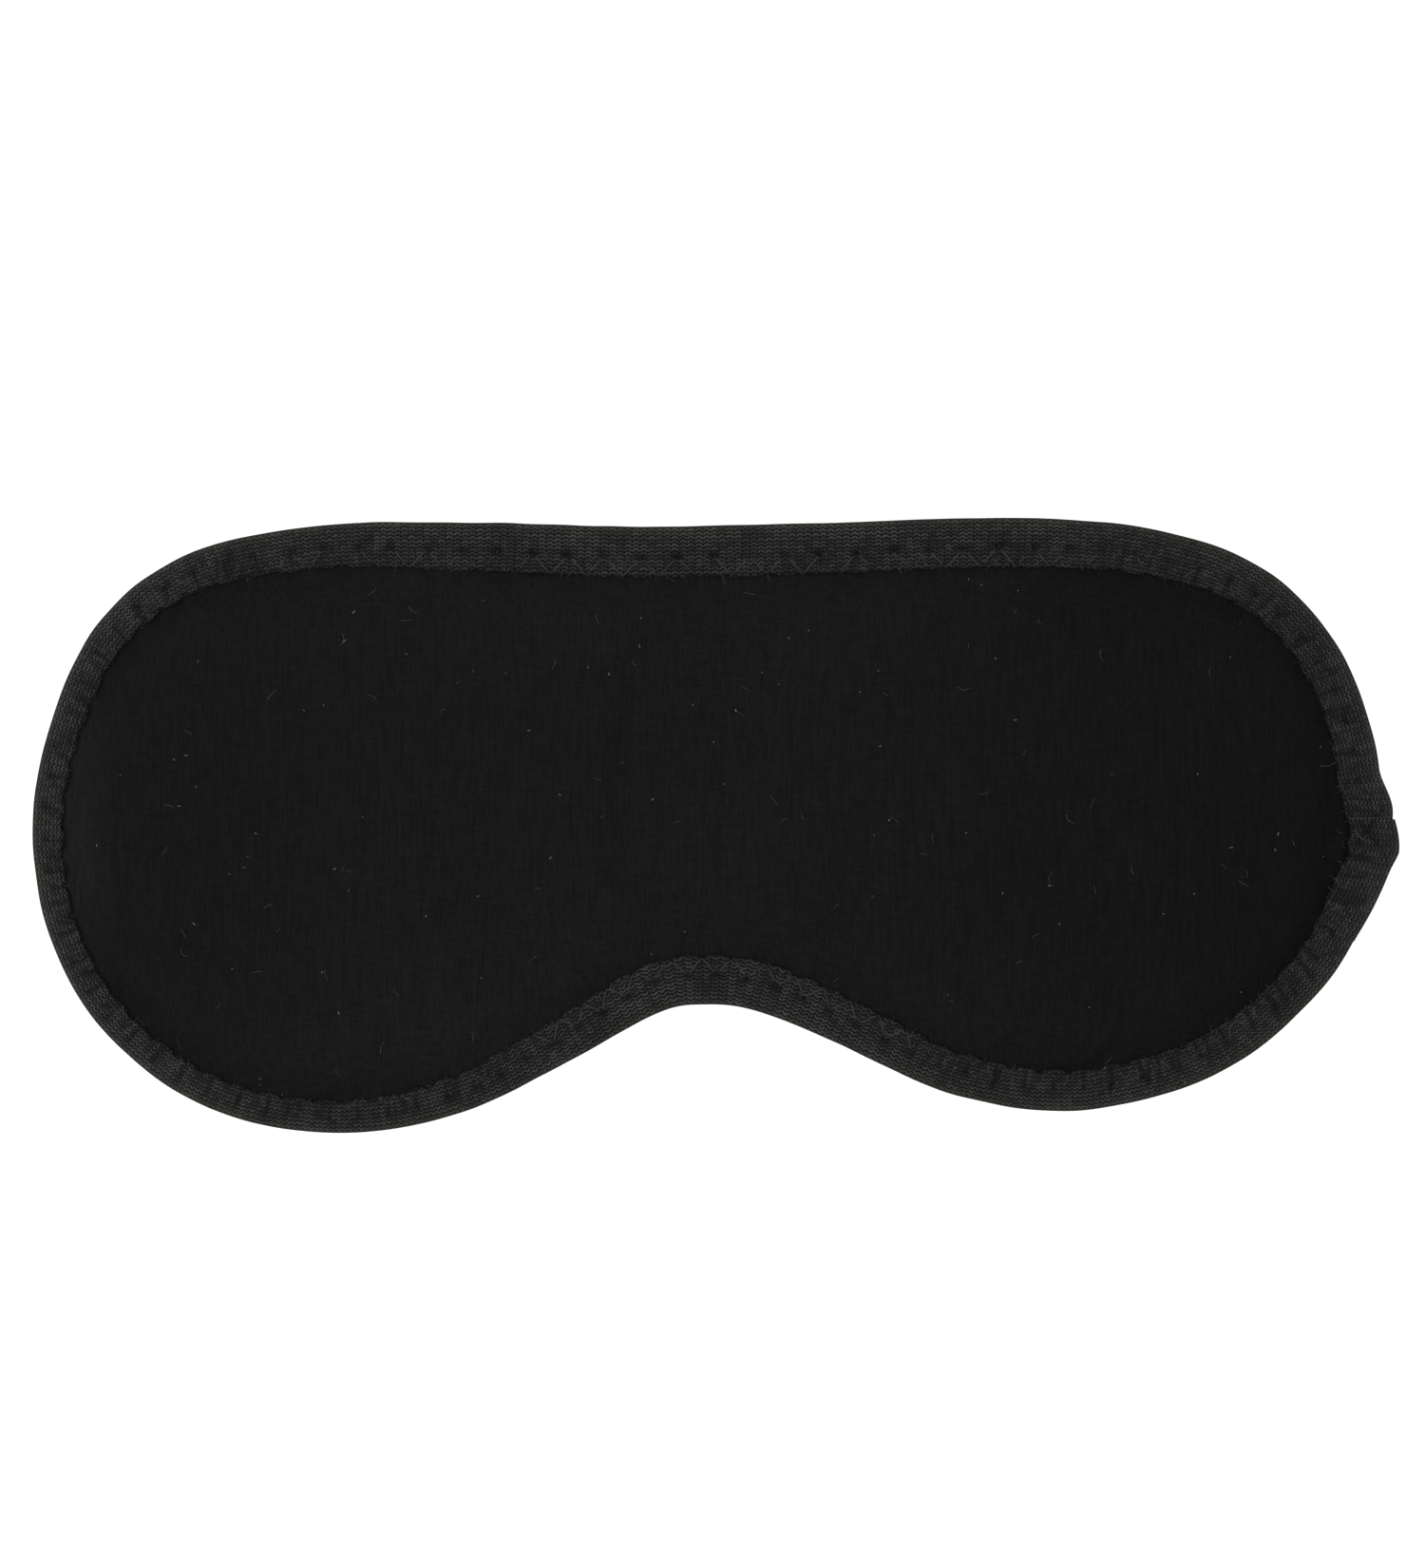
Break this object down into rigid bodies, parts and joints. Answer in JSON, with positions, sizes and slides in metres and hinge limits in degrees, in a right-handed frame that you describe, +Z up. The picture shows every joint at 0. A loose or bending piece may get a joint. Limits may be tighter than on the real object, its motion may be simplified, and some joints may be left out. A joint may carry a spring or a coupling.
{
  "type": "sleep eye mask",
  "caption": "Padded blackout eye mask with a folded edge tape, a zigzag seam, and an elastic head strap that adjusts through a ring and a slider.",
  "frame": {"origin": "on the skin side of the lining, midway between the wings and level with the strap", "axes": "upright as worn: +Z up, the front faces -Y, +Y towards the back of the head, +X to the right of someone who looks at the front"},
  "size_m": [0.2055, 0.1421, 0.0924],
  "materials": {
    "face_panel": "matte",
    "foam_pad": "matte",
    "blackout_liner": "matte",
    "back_lining": "matte",
    "edge_binding": "matte",
    "binding_end_fold": "matte",
    "seam_thread_front": "matte",
    "seam_thread_back": "matte",
    "strap_end_left": "matte",
    "strap_flex_left": "matte",
    "bar_tack_left": "matte",
    "ring_tab_end": "matte",
    "ring_tab_flex": "matte",
    "bar_tack_right": "matte",
    "strap_left_run": "matte",
    "strap_right_run": "matte",
    "strap_ring": "satin",
    "strap_return": "matte",
    "strap_slider": "satin",
    "strap_end_loop": "matte",
    "end_loop_tack": "matte",
    "strap_back_run": "matte"
  },
  "bodies": {
    "panel": {"face_panel": "face_panel", "foam_pad": "foam_pad", "blackout_liner": "blackout_liner", "back_lining": "back_lining", "edge_binding": "edge_binding", "binding_end_fold": "binding_end_fold", "seam_thread_front": "seam_thread_front", "seam_thread_back": "seam_thread_back", "strap_end_left": "strap_end_left", "strap_flex_left": "strap_flex_left", "bar_tack_left": "bar_tack_left", "ring_tab_end": "ring_tab_end", "ring_tab_flex": "ring_tab_flex", "bar_tack_right": "bar_tack_right"},
    "head_strap": {"strap_left_run": "strap_left_run", "strap_right_run": "strap_right_run", "strap_ring": "strap_ring", "strap_return": "strap_return"},
    "slider": {"strap_slider": "strap_slider", "strap_end_loop": "strap_end_loop", "end_loop_tack": "end_loop_tack"},
    "strap_back": {"strap_back_run": "strap_back_run"}
  },
  "joints": [
    {"name": "strap_swing", "type": "hinge", "parent": "panel", "child": "head_strap", "pos_m": [0, 0.02, 0], "axis": [1, 0, 0], "range_deg": [-60, 60], "stiffness_Nm_per_rad": 0.2, "deforming": ["strap_flex_left", "ring_tab_flex"]},
    {"name": "slider_slide", "type": "slide", "parent": "head_strap", "child": "slider", "axis": [0, 1, 0], "range_m": [0, 0.03]},
    {"name": "strap_stretch", "type": "slide", "parent": "head_strap", "child": "strap_back", "axis": [0, 1, 0], "range_m": [0, 0.05], "stiffness_N_per_m": 60}
  ]
}
